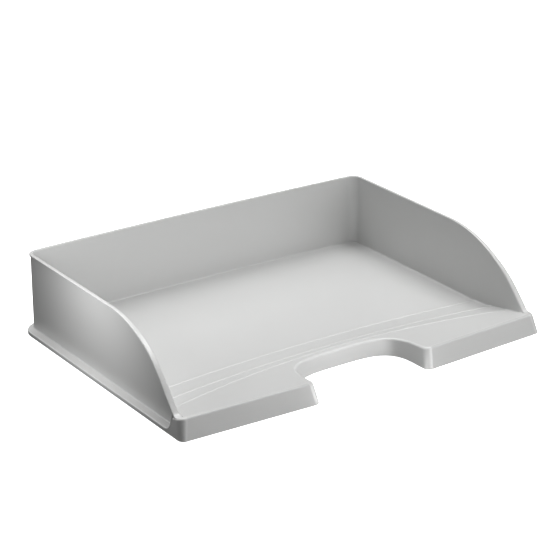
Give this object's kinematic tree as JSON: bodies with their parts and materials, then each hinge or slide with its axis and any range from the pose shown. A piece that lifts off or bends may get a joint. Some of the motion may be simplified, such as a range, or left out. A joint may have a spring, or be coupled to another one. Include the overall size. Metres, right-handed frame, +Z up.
{
  "type": "letter tray",
  "caption": "Wide-entry desk letter tray with three upright walls, a stepped stacking base and a low front apron with a finger cut-out.",
  "frame": {"origin": "middle of the bounding box's underside, on the surface that the tray stands on", "axes": "+X along the tray's width to its right, +Y from the open front to the rear wall, +Z up"},
  "size_m": [0.363, 0.2664, 0.071],
  "materials": {
    "tray_grey": "light grey moulded polystyrene with a soft satin gloss",
    "front_grain": "the same light grey plastic with a fine moulded grain"
  },
  "bodies": {
    "root": {"floor_panel": "tray_grey", "entry_step_rear": "tray_grey", "entry_step_front": "tray_grey", "apron_deck_left": "tray_grey", "apron_deck_right": "tray_grey", "apron_deck_bridge": "tray_grey", "left_wall": "tray_grey", "right_wall": "tray_grey", "rear_wall": "tray_grey", "rear_corner_left": "tray_grey", "rear_corner_right": "tray_grey", "rim_left": "tray_grey", "rim_right": "tray_grey", "rim_rear": "tray_grey", "rim_corner_left": "tray_grey", "rim_corner_right": "tray_grey", "flange_left": "tray_grey", "flange_right": "tray_grey", "flange_rear": "tray_grey", "flange_corner_left": "tray_grey", "flange_corner_right": "tray_grey", "front_face_left": "front_grain", "front_face_right": "front_grain", "cutout_wall": "tray_grey", "cheek_left": "tray_grey", "cheek_right": "tray_grey", "ledge_end_left": "tray_grey", "ledge_end_right": "tray_grey"}
  },
  "joints": []
}
